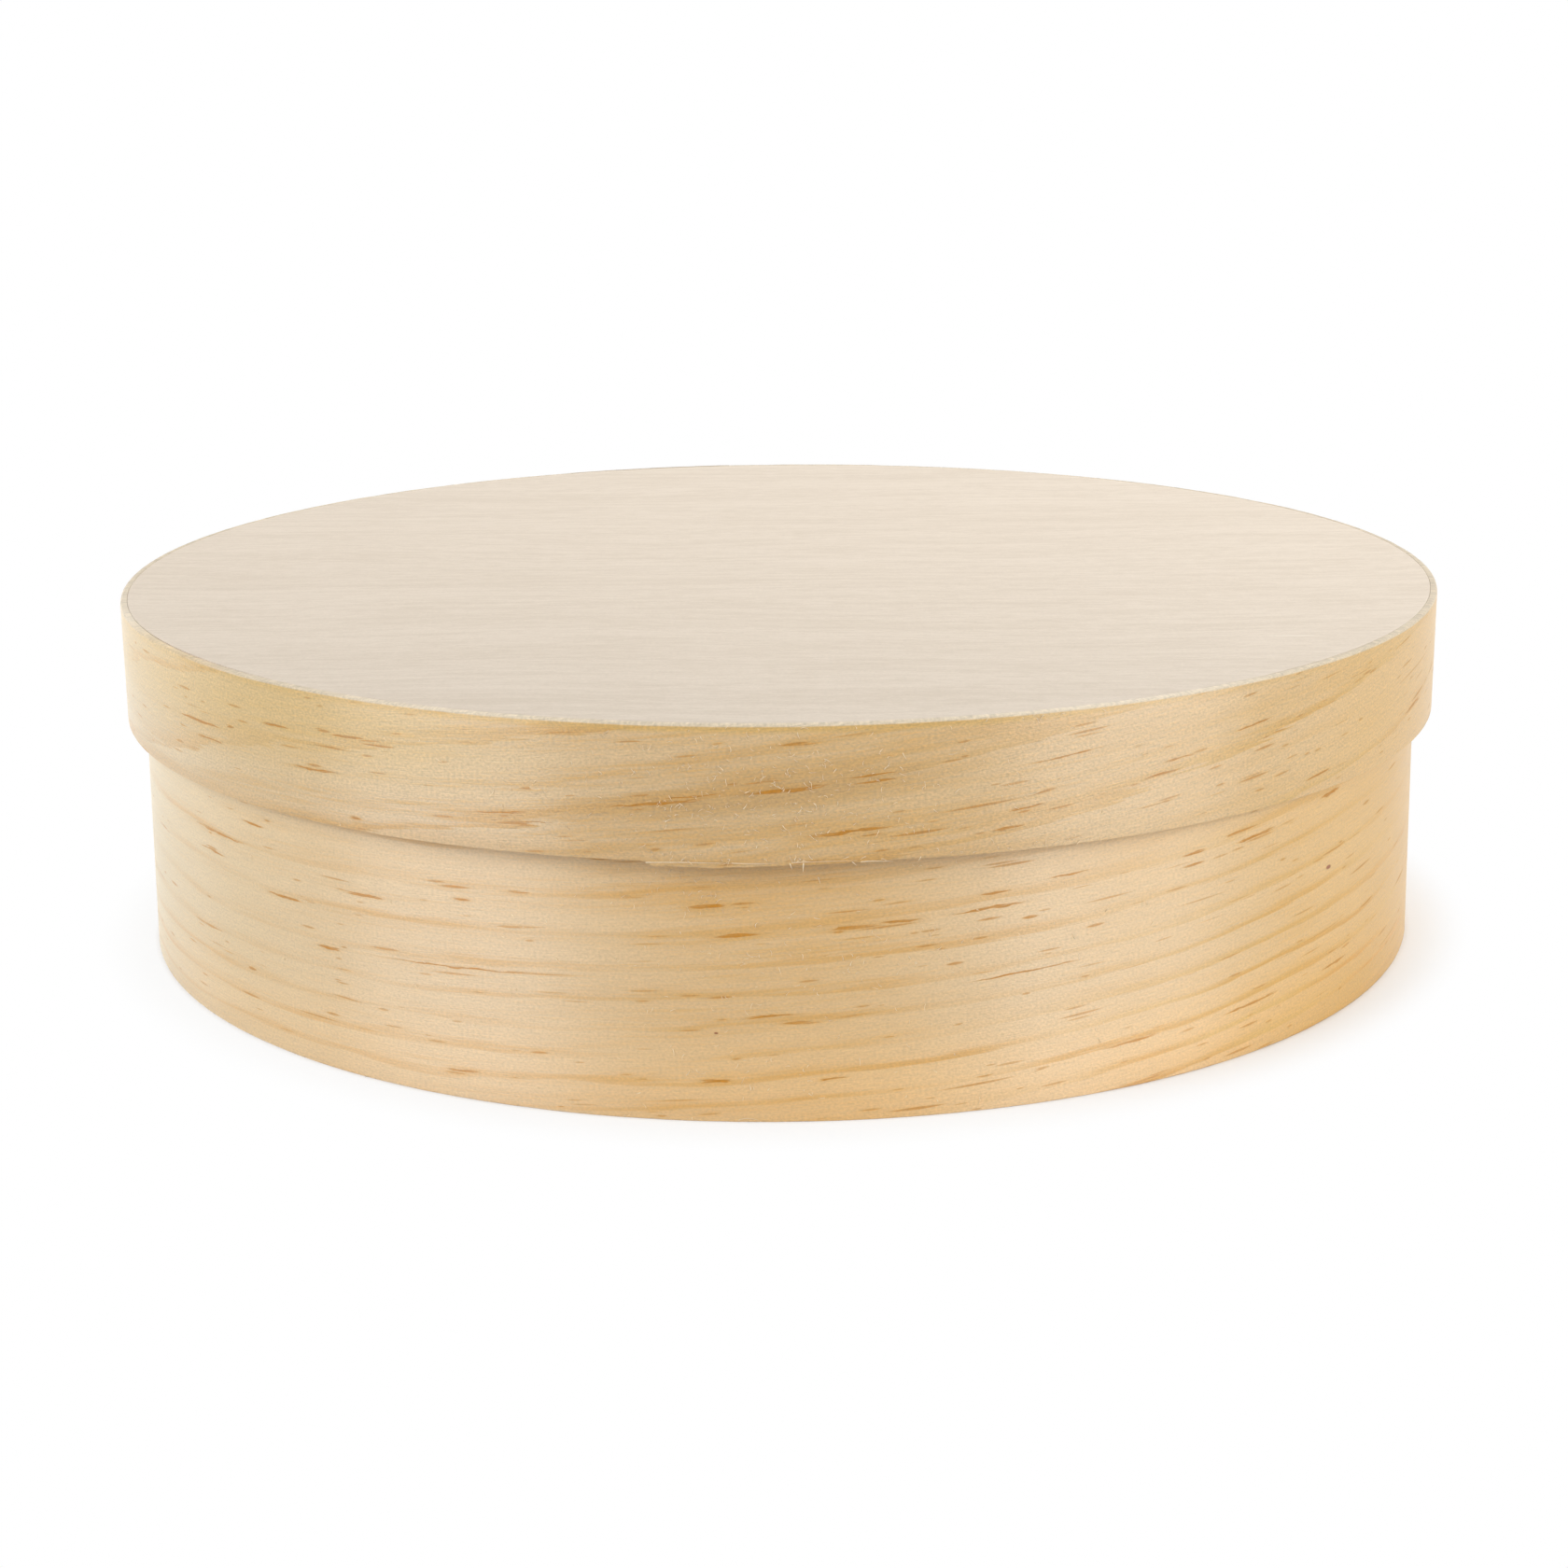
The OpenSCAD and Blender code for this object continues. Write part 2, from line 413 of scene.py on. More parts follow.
# growth rings of the lid's strip: broad flames that lean to the right
lidFigure = {
    "climb": 0.11, "bend": 12, "from": -50, "apart": 68, "lean": 6.2, "level": 12, "start": 81,
    "stray": [((48, 9, 6.0), 4), ((14, 4, 3.0), 2)],
    "lateDepth": 1.4, "lateBand": (0.8, 0.97), "lateRight": 0.6, "lineDepth": 0.55, "bandDepth": 0.6,
    "rich": 1.45, "bright": 0.95, "paintedFootLight": 0.0, "streakShare": 1.4, "rim": (17.4, 17.6),
    "ochre": (16.4, 17.2), "specks": [],
    "marks": [
        (-90.5, 9.4, 5.5, 0.16), (-87.7, 7.4, 3.2, 0.16), (-72.0, 12.0, 2.5, 0.18),
        (-64.5, 7.2, 3.8, 0.14), (-58.6, 12.4, 2.8, 0.14), (-57.8, 1.7, 0.9, 0.22),
        (-35.8, 5.2, 3.3, 0.13), (-15.5, 7.6, 5.5, 0.17), (-11.0, 8.6, 3.2, 0.13),
        (0.2, 9.4, 5.0, 0.22), (11.2, 11.1, 3.0, 0.15), (11.5, 10.3, 2.6, 0.14),
        (8.5, 4.0, 4.8, 0.20), (31.0, 5.6, 2.2, 0.15), (28.7, 3.2, 2.0, 0.19),
        (36.5, 11.8, 5.2, 0.10), (50.5, 7.7, 2.8, 0.13), (53.2, 9.4, 2.4, 0.12),
        (65.8, 11.9, 3.2, 0.14), (79.7, 2.5, 2.6, 0.20), (111.0, 5.6, 3.5, 0.22),
    ],
}


def lidRings(along, up, depth):
    look = lidFigure
    run = along - (up - look["level"]) * look["lean"] - look["start"]
    for lump, far in look["stray"]:
        run = run + lumps(along, up, *lump) * far
    return run / look["apart"] + depth * 0.1 + 20


# 1 in the middle of the lid's front, fading to 0 about halfHigh mm above and below it; the painted shade
# of the lid's middle follows it
def lidMiddle(along, up, halfHigh):
    level = (up - along * lidFigure["climb"] - 9) / halfHigh
    away = (along + 3) / 28
    return 1 - ease((level * level + away * away) ** 0.5, 0.1, 1.2)


# painted shade: the middle of the lid's front made darker, and a patch at its left made lighter
def lidMiddleShade(along, up):
    patch = ease(along, -70, -55) * (1 - ease(along, -40, -20)) * (1 - ease(up, 7, 13))
    return lidMiddle(along, up, 6) * 0.45 + lidMiddle(along, up, 2.6) * 0.5 - patch * 0.3


lidFigure["rings"] = lidRings
lidFigure["grain"] = lambda along, up: up - climbed(along, lidFigure)
lidFigure["flame"] = lidMiddleShade
lidFigure["ochreShare"] = lambda along: stretch(along, -55, 45) * 0.5 + 0.3
lidFigure["rimShare"] = lambda along: 1 - stretch(along, -110, -90) * 0.6
lidFigure["vivid"] = lambda along, up: 1
lidFigure["washes"] = [
    ("amber", lambda along, up: amberRight(along)),
    # painted highlight on the right of the lid's front
    ("paintedHighlight", lambda along, up: stretch(along, 24, 80) * 0.24),
    ("amber", lambda along, up: ease(along, 80, 110) * frontHalf(along) * 0.65),
    ("footAmber", lambda along, up: ease(along, 88, 110) * frontHalf(along) * 0.12),
    # painted sheen on the left of the lid
    ("pale", paintedSheenLeft),
    ("gold", lambda along, up: (1 - ease(along, -55, -20)) * ease(up, 2, 14) * frontHalf(along) * 0.7),
    # painted shade: the middle of the lid's front made browner
    ("paintedShadeBrown", lambda along, up: lidMiddle(along, up, 6) * 0.28 + lidMiddle(along, up, 2.6) * 0.22),
    ("late", lambda along, up: (1 - ease(up, 0.5, 2.5)) * (1 - ease(along, 20, 50)) * 0.4),
]

wallPine = pine("wallPine", wallFigure)
lidPine = pine("lidPine", lidFigure)

# painted light: how much the disc's colour gains for each mm to the right and to the back, the back
# right painted lighter as the lamps light it
plyLook = {
    "pale": (0.83, 0.73, 0.615, 1),
    "dull": (0.755, 0.655, 0.54, 1),
    "pore": (0.55, 0.46, 0.36, 1),
    "scratch": (0.90, 0.82, 0.71, 1),
    "scratchHalf": (3.6, 0.3),
    "roughness": 0.75, "bumpMm": 0.012, "bright": 1.035, "paintedLightSlope": (0.0004, 0.0014),
    "gloss": {"Specular IOR Level": 0.1},
}

# layers of noise as in the pine, each with a number that is added to the disc's own seed
plyGrain = {
    "drift": (90, 40, 0, 1.0),
    "bands": (160, 9, 1, 2.0),
    "lines": (30, 1.6, 2, 2.0),
    "hair": (7, 0.35, 5, 1.0),
    "pores": (2.6, 0.2, 3, 1.0),
    "nap": (0.5, 0.4, 4, 2.0),
    "clouds": (15, 2.2, 6, 4.0),
    "mottle": (2.4, 0.9, 7, 1.0),
}


# scratches are short light marks along the grain, as places in mm
def plywood(name, seed, scratches):
    material, start = newMaterial(name)
    spot = start.node("ShaderNodeTexCoord", {}, {}, "Object")
    x, y = [value / mm for value in split(spot)[:2]]

    def layer(layerName, across):
        longMm, highMm, step, detail = plyGrain[layerName]
        return lumps(x, across, longMm, highMm, seed + step, detail)

    drift = y + layer("drift", y) * 4
    bands = layer("bands", drift)
    lines = layer("lines", drift)
    hair = layer("hair", drift)
    pores = ease(layer("pores", drift), 0.9, 1.5)
    nap = layer("nap", y)
    clouds = layer("clouds", drift)
    mottle = layer("mottle", drift)
    amount = ease(bands * 0.5 + lines * 0.45 + hair * 0.5 + clouds * 0.8 + mottle * 0.6, -1.2, 1.3)
    wood = mixColour(amount, plyLook["pale"], plyLook["dull"])
    wood = mixColour(pores * 0.25, wood, plyLook["pore"])
    halfLong, halfWide = plyLook["scratchHalf"]
    for placeX, placeY in scratches:
        far = ((x - placeX) / halfLong) ** 2 + ((y - placeY) / halfWide) ** 2
        wood = mixColour((1 - ease(far, 0.5, 1.1)) * 0.8, wood, plyLook["scratch"])
    # painted light: lighter to the right and to the back
    right, back = plyLook["paintedLightSlope"]
    wood = brighten(wood, nap * 0.04 + y * back + x * right + plyLook["bright"])
    height = nap * 0.5 + lines * 0.5 - pores
    rough = nap * 0.04 + plyLook["roughness"]
    finishMaterial(start, wood, rough, height, plyLook["bumpMm"], plyLook["gloss"])
    return material


lidPly = plywood("lidPly", 1.0, [(70.7, -52.7)])
basePly = plywood("basePly", 41.0, [])

glueLook = {
    "dark": (0.20, 0.12, 0.055, 1), "light": (0.34, 0.21, 0.10, 1),
    "lump": (3, 2, 1.0, 2.0), "bumpMm": 0.03,
}
fibreLook = {
    "dark": (0.84, 0.68, 0.45, 1), "light": (0.90, 0.78, 0.58, 1),
    "lump": (2, 2, 1.0, 1.0), "bumpMm": 0.005,
}


# two tones in lumps
def mottled(name, look):
    material, start = newMaterial(name)
    spot = start.node("ShaderNodeTexCoord", {}, {}, "Object")
    x, y, z = [value / mm for value in split(spot)]
    beads = lumps(x + y, z, *look["lump"])
    colour = mixColour(ease(beads, -1, 1), look["dark"], look["light"])
    finishMaterial(start, colour, beads * 0.05 + 0.5, beads, look["bumpMm"], {})
    return material


glueFinish = mottled("driedGlue", glueLook)
fibreFinish = mottled("woodFibre", fibreLook)
print("materials made")


def dress(piece, name, body, slot, finish, *nodes):
    piece.name = name
    piece.data.name = name
    piece.data.materials.clear()
    piece.data.materials.append(finish)
    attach(piece, body)
    if nodes:
        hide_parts(*nodes)


smoothUnder = math.radians(40)
bevelSteps = 3


def pickEdges(piece, test):
    bpy.ops.mesh.select_mode(type="EDGE")
    bpy.ops.mesh.select_all(action="DESELECT")
    shape = bmesh.from_edit_mesh(piece.data)
    for edge in shape.edges:
        a, b = [corner.co for corner in edge.verts]
        edge.select_set(test(a, b))
    bmesh.update_edit_mesh(piece.data)


def runsAlong(a, b, axis):
    step = b - a
    return abs(step[axis]) > 0.99 * step.length


# a straight strip, x along it from the front of the box, y through it with the inner face
# at +y, z up; the two ends are skived for the lap, the left one over the right one
def flatStrip(spec):
    left, right = spec["ends"]
    t = spec["thick"]
    h = spec["high"]
    bpy.ops.object.select_all(action="DESELECT")
    bpy.ops.mesh.primitive_cube_add(size=1, location=((left + right) / 2, 0, h / 2))
    strip = bpy.context.object
    strip.scale = (right - left, t, h)
    bpy.ops.object.transform_apply(location=True, rotation=False, scale=True)
    bpy.ops.object.mode_set(mode="EDIT")
    near = t / 9
    for outer, top, radius in spec["rounding"]:
        side = -t / 2 if outer else t / 2
        level = h if top else 0

        def onEdge(a, b):
            return runsAlong(a, b, 0) and abs(a.y - side) < near and abs(a.z - level) < near

        pickEdges(strip, onEdge)
        bpy.ops.mesh.bevel(offset=radius, segments=bevelSteps, affect="EDGES")
    for cuts in spec["cutsAlong"]:
        pickEdges(strip, lambda a, b: runsAlong(a, b, 0))
        bpy.ops.mesh.subdivide(number_cuts=cuts)
    pickEdges(strip, lambda a, b: abs(b.z - a.z) > h / 2)
    bpy.ops.mesh.subdivide(number_cuts=spec["cutsUp"])
    for place in (left + spec["lap"], right - spec["lap"]):
        for offset in (0, spec["film"]):
            bpy.ops.mesh.select_all(action="SELECT")
            bpy.ops.mesh.bisect(plane_co=(place + offset, 0, 0), plane_no=(1, 0, 0))
    bpy.ops.object.mode_set(mode="OBJECT")
    return strip


# thickness that a skived end keeps at a distance from its tip
def skived(spec, fromTip):
    thin = spec["endThick"] - spec["film"] / 2
    thick = spec["thick"] - spec["endThick"] - spec["film"] / 2
    return thin + (thick - thin) * max(0.0, fromTip) / spec["lap"]


# where the noise is read across its third axis
noiseSlice = 0.37

# unevenness as waves along a strip: length in mm, seed, and height in mm
sagWaves = [(60, 1.5, 0.12), (23, 2.5, 0.03)]
sawnWaves = [(9, 4.5, 0.05), (1.7, 6.5, 0.03)]


def wave(x, length, seed):
    return noise.noise(Vector((x / length, seed, noiseSlice)))


def waves(x, parts):
    return sum(wave(x, length * mm, seed) * high for length, seed, high in parts) * mm


# how far a bent strip sags in from the true circle, which it keeps round its lap
def sag(x, spec):
    left, right = spec["ends"]
    calm = min(x - left - spec["lap"], right - spec["lap"] - x) / spec["lap"]
    return waves(x, sagWaves) * min(1.0, max(0.0, calm))


def shapeStrip(strip, spec):
    left, right = spec["ends"]
    t = spec["thick"]
    h = spec["high"]
    small = spec["film"] / 9
    mesh = strip.data
    flat = mesh.attributes.new("flat", "FLOAT_VECTOR", "POINT")
    for index, corner in enumerate(mesh.vertices):
        x, y, z = corner.co
        flat.data[index].vector = corner.co
        inward = y / t + 0.5
        if x < left + spec["lap"] + small:
            y = -t / 2 + inward * skived(spec, x - left)
        if x > right - spec["lap"] + spec["film"] - small:
            y = t / 2 - (1 - inward) * skived(spec, right - x)
        y += spec["lean"] * z / h
        y += sag(x, spec)
        fade = spec["edgeFade"]
        z += max(0.0, 1 - z / fade) * spec["lowerEdge"](x)
        z += max(0.0, 1 - (h - z) / fade) * spec["upperEdge"](x)
        corner.co = (x, y, z)


def bendStrip(strip, spec):
    left, right = spec["ends"]
    bpy.ops.object.select_all(action="DESELECT")
    strip.select_set(True)
    bpy.context.view_layer.objects.active = strip
    bpy.ops.object.modifier_add(type="SIMPLE_DEFORM")
    bend = strip.modifiers[-1]
    bend.deform_method = "BEND"
    bend.deform_axis = "Z"
    bend.angle = (right - left) / spec["radius"]
    bpy.ops.object.modifier_apply(modifier=bend.name)
    strip.location = (0, -spec["radius"], spec["foot"])
    bpy.ops.object.transform_apply(location=True, rotation=False, scale=False)
    bpy.ops.object.shade_smooth_by_angle(angle=smoothUnder)


# angle from the front of the box, by the right, to a point of the back at this x
def backAngle(x, radius):
    return math.pi - math.asin(x / radius)


def stripSpec(low, high, radius, lapLow, lapHigh, extra):
    middle = radius - stripT / 2
    tipOuter = backAngle(lapHigh[0], radius) - 2 * math.pi
    tipInner = backAngle(lapLow[0], radius - stripT)
    spec = {
        "radius": middle,
        "thick": stripT,
        "high": high[2] - low[2],
        "foot": low[2],
        "ends": (tipOuter * middle, tipInner * middle),
        "lap": (tipInner - tipOuter - 2 * math.pi) * middle,
        "film": 0.15 * mm,
        "endThick": 0.3 * mm,
        "cutsAlong": (99, 9),
        "edgeFade": 2.5 * mm,
    }
    spec.update(extra)
    return spec


wornEdge = 0.4 * mm
sandedEdge = 0.2 * mm
crispEdge = 0.06 * mm


def sawnEdge(x):
    return waves(x, sawnWaves)


# the torn lip on the front of the lid's lower edge: where it starts and ends along the front,
# how fast, how far it hangs down, and how far the rest of the edge stays up
tornLip = {
    "from": -17.2 * mm, "start": 1.2 * mm,
    "to": 14 * mm, "fade": 22 * mm,
    "drop": 0.6 * mm, "rest": 0.12 * mm,
}


def lidLowerEdge(x):
    lip = tornLip
    start = min(1.0, max(0.0, (x - lip["from"]) / lip["start"]))
    end = min(1.0, max(0.0, (lip["to"] - x) / lip["fade"]))
    rag = 1 + 0.35 * wave(x, 2.1 * mm, 8.5)
    return sawnEdge(x) + lip["rest"] - lip["drop"] * start * end * rag


# rounding is, for each long edge: whether it is outer, whether it is on top, and its radius
wallSpec = stripSpec(wallLow, wallHigh, wallR, wallLapLow, wallLapHigh, {
    "lean": 0.6 * mm,
    "cutsUp": 11,
    "rounding": [
        (True, False, sandedEdge), (False, False, sandedEdge),
        (True, True, sandedEdge), (False, True, sandedEdge),
    ],
    "lowerEdge": lambda x: abs(sawnEdge(x)),
    "upperEdge": lambda x: -abs(sawnEdge(x)),
})
lidSpec = stripSpec(lidLow, lidHigh, lidR, lidLapLow, lidLapHigh, {
    "lean": 0.0,
    "cutsUp": 5,
    "rounding": [
        (True, True, wornEdge), (False, True, crispEdge),
        (True, False, crispEdge), (False, False, crispEdge),
    ],
    "lowerEdge": lidLowerEdge,
    "upperEdge": lambda x: -abs(sawnEdge(x)),
})


def strip(name, spec, body, finish, node):
    piece = flatStrip(spec)
    shapeStrip(piece, spec)
    bendStrip(piece, spec)
    dress(piece, name, body, "pine", finish, node)
    print(name, "bent from", len(piece.data.vertices), "points")


strip("wallStrip", wallSpec, "box", wallPine, "wall_strip")
strip("lidStrip", lidSpec, "lid", lidPine, "lid_strip")


# the hairline left round a disc: nearly closed, open at both sides of the front
hairline = {
    "closed": 0.03 * mm,
    "gaps": [
        {"turn": -55, "half": 16, "open": 0.22 * mm},
        {"turn": 45, "half": 18, "open": 0.16 * mm},
    ],
}


def hairlineAt(turn):
    wide = hairline["closed"]
    for gap in hairline["gaps"]:
        off = (math.degrees(turn) - gap["turn"]) / gap["half"]
        wide = wide + gap["open"] * max(0.0, 1 - off * off) ** 2
    return wide


discSides = 256


def disc(name, body, finish, node, spec, outerUp):
    low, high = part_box(node)
    radius = high[0] + glueWide
    middle = (low[2] + high[2]) / 2
    bpy.ops.object.select_all(action="DESELECT")
    bpy.ops.mesh.primitive_cylinder_add(
        vertices=discSides, radius=radius, depth=high[2] - low[2], location=(0, 0, middle))
    piece = bpy.context.object
    bpy.ops.object.transform_apply(location=True, rotation=False, scale=False)
    bpy.ops.object.mode_set(mode="EDIT")
    outer = high[2] if outerUp else low[2]
    near = crispEdge / 9
    pickEdges(piece, lambda a, b: abs(a.z - outer) < near and abs(b.z - outer) < near)
    bpy.ops.mesh.bevel(offset=crispEdge, segments=bevelSteps, affect="EDGES")
    bpy.ops.object.mode_set(mode="OBJECT")
    for corner in piece.data.vertices:
        x, y, z = corner.co
        turn = math.atan2(x, -y)
        shrink = 1 - (hairlineAt(turn) + sag(turn * spec["radius"], spec)) / radius
        corner.co = (x * shrink, y * shrink, z)
    bpy.ops.object.shade_smooth_by_angle(angle=smoothUnder)
    dress(piece, name, body, "plywood", finish, node)
    print(name, "turned")


disc("lidDisc", "lid", lidPly, "lid_disc", lidSpec, True)
disc("baseDisc", "box", basePly, "base_disc", wallSpec, False)

for node in ("wall_lap_glue", "base_glue_line", "lid_lap_glue", "lid_glue_line"):
    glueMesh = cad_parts[node].data
    glueMesh.materials.clear()
    glueMesh.materials.append(glueFinish)
print("glue dressed")

# raised fibres that sanding left on the front, in clouds round a place and as single
# slivers, none above highest, sizes in mm
lidFuzz = {
    "highest": 17.3, "seed": 4,
    "clouds": [
        {"at": (-3, 9.2), "spread": (10, 3.4), "count": 240},
        {"at": (-2, 8), "spread": (26, 5), "count": 120},
        {"at": (33, 0.6), "spread": (6, 0.4), "count": 22},
        {"at": (-2, 0.5), "spread": (9, 0.4), "count": 18},
        {"at": (31, 17.2), "spread": (6, 0.2), "count": 10},
    ],
    "slivers": [
        {"at": (-16.9, -0.05), "long": 11.5, "thick": 0.22, "spin": 0.6, "rise": 0.01, "arch": 0.12},
        {"at": (-6.2, 0.1), "long": 5.8, "thick": 0.2, "spin": 0.4, "rise": 0.02, "arch": -0.05},
        {"at": (1.2, 0.15), "long": 8.2, "thick": 0.16, "spin": 0.8, "rise": 0.02, "arch": 0.05},
        {"at": (9.8, 0.05), "long": 4.0, "thick": 0.2, "spin": -1.5, "rise": 0.05, "arch": 0.1},
        {"at": (1.0, 0.1), "long": 0.8, "thick": 0.2, "spin": -70, "rise": 0.2, "arch": 0},
        {"at": (2.7, 0.1), "long": 1.1, "thick": 0.22, "spin": -95, "rise": 0.2, "arch": 0},
        {"at": (8.7, 0.1), "long": 0.7, "thick": 0.2, "spin": -40, "rise": 0.3, "arch": 0},
    ],
}
wallFuzz = {
    "highest": 33.5, "seed": 9,
    "clouds": [
        {"at": (-13, 30), "spread": (9, 2), "count": 45},
        {"at": (12, 22), "spread": (12, 2.5), "count": 50},
        {"at": (-4, 8), "spread": (7, 3), "count": 34},
        {"at": (0, 19), "spread": (30, 9), "count": 130},
    ],
    "slivers": [
        {"at": (-5.9, 0.25), "long": 3.0, "thick": 0.16, "spin": -1, "rise": 0.05, "arch": 0.35},
    ],
}

# sizes of the fibres in a cloud, in mm, and how steeply they rise from the face
cloudLook = {
    "shortest": 0.35, "longer": 0.7, "thick": (0.08, 0.17),
    "rise": (0.05, 0.5), "arch": (-0.15, 0.15), "lowest": 0.3,
}


# one fibre along +z, thick at its root
def fibreMaster():
    bpy.ops.object.select_all(action="DESELECT")
    bpy.ops.mesh.primitive_cone_add(vertices=3, radius1=0.5, radius2=0.1, depth=1, location=(0, 0, 0.5))
    fibre = bpy.context.object
    bpy.ops.object.transform_apply(location=True, rotation=False, scale=False)
    bpy.ops.object.mode_set(mode="EDIT")
    pickEdges(fibre, lambda a, b: abs(a.z - b.z) > 0.5)
    bpy.ops.mesh.subdivide(number_cuts=4)
    bpy.ops.object.mode_set(mode="OBJECT")
    return fibre


# lays one copy of the fibre on a strip's outer face
def layFibre(master, look, spec):
    copy = master.copy()
    copy.data = master.data.copy()
    bpy.context.collection.objects.link(copy)
    along, up = look["at"]
    turn = math.radians(look["spin"])
    for corner in copy.data.vertices:
        x, y, z = corner.co
        step = z * look["long"]
        side = x * look["thick"] + look["arch"] * 4 * z * (1 - z)
        lift = y * look["thick"] + look["rise"] * step
        place = (along + step * math.cos(turn) - side * math.sin(turn)) * mm
        level = (up + step * math.sin(turn) + side * math.cos(turn)) * mm
        leaning = spec["lean"] * level / spec["high"]
        face = spec["radius"] + spec["thick"] / 2 - leaning - sag(place, spec)
        angle = place / spec["radius"]
        out = face + lift * mm
        corner.co = (out * math.sin(angle), -out * math.cos(angle), spec["foot"] + level)
    return copy


def cloudFibres(cloud, chance, highest):
    across, upward = cloud["spread"]
    for count in range(cloud["count"]):
        along = chance.gauss(cloud["at"][0], across)
        up = chance.gauss(cloud["at"][1], upward)
        look = {"at": (along, min(max(up, cloudLook["lowest"]), highest))}
        look["long"] = cloudLook["shortest"] + cloudLook["longer"] * chance.random() ** 2
        look["thick"] = chance.uniform(*cloudLook["thick"])
        look["spin"] = chance.uniform(0, 360)
        look["rise"] = chance.uniform(*cloudLook["rise"])
        look["arch"] = chance.uniform(*cloudLook["arch"])
        yield look


def fuzz(name, body, looks, spec):
    chance = random.Random(looks["seed"])
    master = fibreMaster()
    fibres = [layFibre(master, look, spec) for look in looks["slivers"]]
    for cloud in looks["clouds"]:
        for look in cloudFibres(cloud, chance, looks["highest"]):
            fibres.append(layFibre(master, look, spec))
    bpy.data.objects.remove(master)
    bpy.ops.object.select_all(action="DESELECT")
    for fibre in fibres:
        fibre.select_set(True)
    bpy.context.view_layer.objects.active = fibres[0]
    bpy.ops.object.join()
    bpy.ops.object.mode_set(mode="EDIT")
    bpy.ops.mesh.select_all(action="SELECT")
    bpy.ops.mesh.normals_make_consistent(inside=False)
    bpy.ops.object.mode_set(mode="OBJECT")
    bpy.ops.object.shade_smooth()
    dress(bpy.context.object, name, body, "pine", fibreFinish)
    print(name, "laid,", len(fibres), "fibres")


fuzz("lidFuzz", "lid", lidFuzz, lidSpec)
fuzz("wallFuzz", "box", wallFuzz, wallSpec)

# the floor is white where it is seen, and shows its shadow close to the foot: left, front,
# right and contact are how much of the shadow shows there, fromLeft and fromRight where one
# share passes into the next, near and clear where it fades out
stageLook = {
    "floor": 6.0, "white": 0.92, "below": 0.02 * mm,
    "left": 0.12, "front": 0.25, "right": 0.65, "contact": 0.35,
    "fromLeft": (-0.8, -0.1), "fromRight": (0.1, 0.8),
    "near": (97.4 * mm, 98.6 * mm), "clear": (97 * mm, 108 * mm),
}


# 1 for the rays that show the background, in the picture or in gloss and glass
def showing(start):
    path = start.node("ShaderNodeLightPath", {}, {}, "Is Camera Ray")
    rays = path.socket.node.outputs
    seen = path.math("MAXIMUM", Sock(start.tree, rays["Is Glossy Ray"]))
    return seen.math("MAXIMUM", Sock(start.tree, rays["Is Transmission Ray"]))


def floorFinish():
    material, start = newMaterial("floorWhite")
    diffuse = start.node("ShaderNodeBsdfDiffuse", {}, {"Color": (stageLook["white"],) * 3 + (1,)})
    shine = start.node("ShaderNodeEmission", {}, {"Color": (1, 1, 1, 1), "Strength": 1.0})
    x, y = split(start.node("ShaderNodeTexCoord", {}, {}, "Object"))[:2]
    away = (x * x + y * y) ** 0.5
    side = x / away
    toFront = stageLook["front"] - stageLook["left"]
    toRight = stageLook["right"] - stageLook["front"]
    shade = ease(side, *stageLook["fromLeft"]) * toFront + stageLook["left"]
    shade = shade + ease(side, *stageLook["fromRight"]) * toRight
    shade = shade + (1 - ease(away, *stageLook["near"])) * stageLook["contact"]
    share = 1 - shade * (1 - ease(away, *stageLook["clear"]))
    mixed = start.node("ShaderNodeMixShader", {}, {0: showing(start) * share, 1: diffuse, 2: shine})
    start.node("ShaderNodeOutputMaterial", {}, {"Surface": mixed})
    return material


bpy.ops.object.select_all(action="DESELECT")
floorHigh = wallLow[2] - stageLook["below"]
bpy.ops.mesh.primitive_plane_add(size=stageLook["floor"], location=(0, 0, floorHigh))
floor = bpy.context.object
floor.name = "floor"
bpy.ops.object.transform_apply(location=True, rotation=False, scale=True)
floor.data.materials.append(floorFinish())

world = bpy.data.worlds.new("whiteRoom")
bpy.context.scene.world = world
world.use_nodes = True
world.node_tree.nodes.clear()
sky = Sock(world.node_tree)
light = sky.node("ShaderNodeBackground", {}, {"Color": (1, 1, 1, 1), "Strength": showing(sky)})
sky.node("ShaderNodeOutputWorld", {}, {"Surface": light})
print("floor and background set")

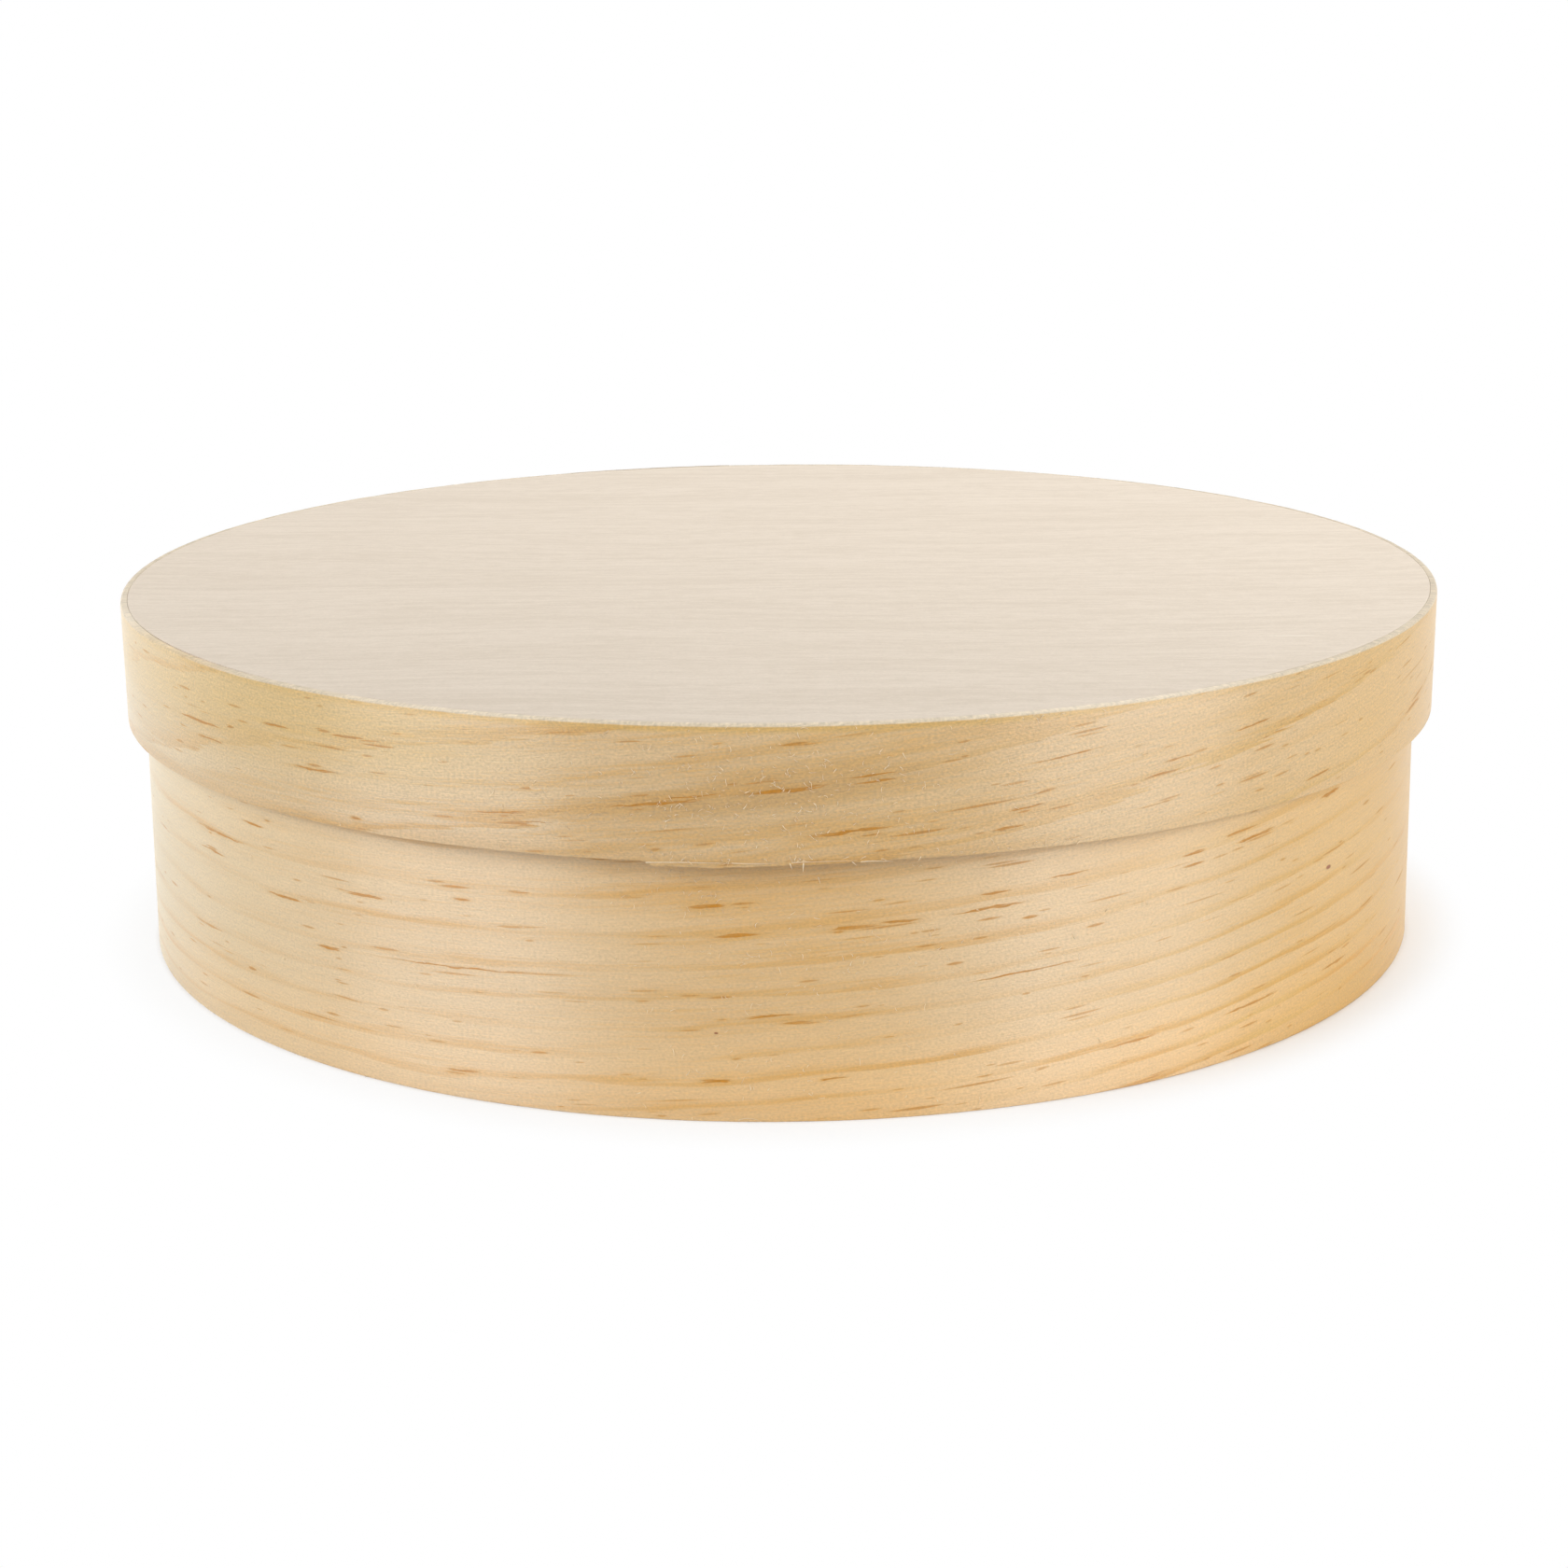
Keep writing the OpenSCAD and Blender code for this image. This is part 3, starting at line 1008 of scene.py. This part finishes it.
# turn is the way to the lamp, from the front by the right; glow is how bright its face is
lamps = {
    "leftSoftbox": {"turn": -57, "away": 0.72, "up": 0.52, "wide": 0.50, "high": 0.36, "glow": 4.0},
    "leftLow": {"turn": -57, "away": 0.80, "up": 0.31, "wide": 0.56, "high": 0.28, "glow": 4.9},
    "rightSoftbox": {"turn": 57, "away": 0.72, "up": 0.52, "wide": 0.50, "high": 0.36, "glow": 2.3},
    "rightLow": {"turn": 57, "away": 0.80, "up": 0.31, "wide": 0.56, "high": 0.28, "glow": 6.3},
    "leftPanel": {"turn": -132, "away": 0.95, "up": 0.30, "wide": 0.80, "high": 0.55, "glow": 1.2},
    "topSoftbox": {"turn": 140, "away": 0.42, "up": 0.88, "wide": 0.90, "high": 0.90, "glow": 2.2},
}


def softbox(name, look):
    turn = math.radians(look["turn"])
    place = Vector((math.sin(turn) * look["away"], -math.cos(turn) * look["away"], look["up"]))
    lamp = bpy.data.lights.new(name, "AREA")
    lamp.shape = "RECTANGLE"
    lamp.size = look["wide"]
    lamp.size_y = look["high"]
    lamp.energy = look["glow"] * math.pi * look["wide"] * look["high"]
    holder = bpy.data.objects.new(name, lamp)
    bpy.context.collection.objects.link(holder)
    aim = Vector((0, 0, wallHigh[2] / 2)) - place
    holder.matrix_world = Matrix.Translation(place) @ aim.to_track_quat("-Z", "Y").to_matrix().to_4x4()


for name, look in lamps.items():
    softbox(name, look)
print("lamps set")

# the camera of the photograph, from a fit to the box's outlines: distance, in radii of the
# lid, and raised count from a point that is middle below the lid's top; angles in radians
view = {
    "distance": 4.568, "middle": 26.4 * mm,
    "raised": 0.2506, "pitch": 0.2689, "roll": -0.0092, "yaw": -0.0011,
    "focalPixels": 3099.6, "framePixels": 1680, "sensor": 36, "nearest": 0.01,
}
camera = bpy.data.cameras.new("photoCamera")
camera.sensor_width = view["sensor"]
camera.lens = view["focalPixels"] / view["framePixels"] * camera.sensor_width
camera.clip_start = view["nearest"]
cameraHolder = bpy.data.objects.new("photoCamera", camera)
bpy.context.collection.objects.link(cameraHolder)
reach = view["distance"] * lidR
eyeHigh = reach * math.sin(view["raised"]) + lidHigh[2] - view["middle"]
eye = Vector((0, -reach * math.cos(view["raised"]), eyeHigh))
turns = Matrix.Rotation(view["yaw"], 4, "Z") @ Matrix.Rotation(math.pi / 2 - view["pitch"], 4, "X")
cameraHolder.matrix_world = Matrix.Translation(eye) @ turns @ Matrix.Rotation(view["roll"], 4, "Z")
bpy.context.scene.camera = cameraHolder
bpy.context.scene.view_settings.view_transform = "Standard"
print("camera set")
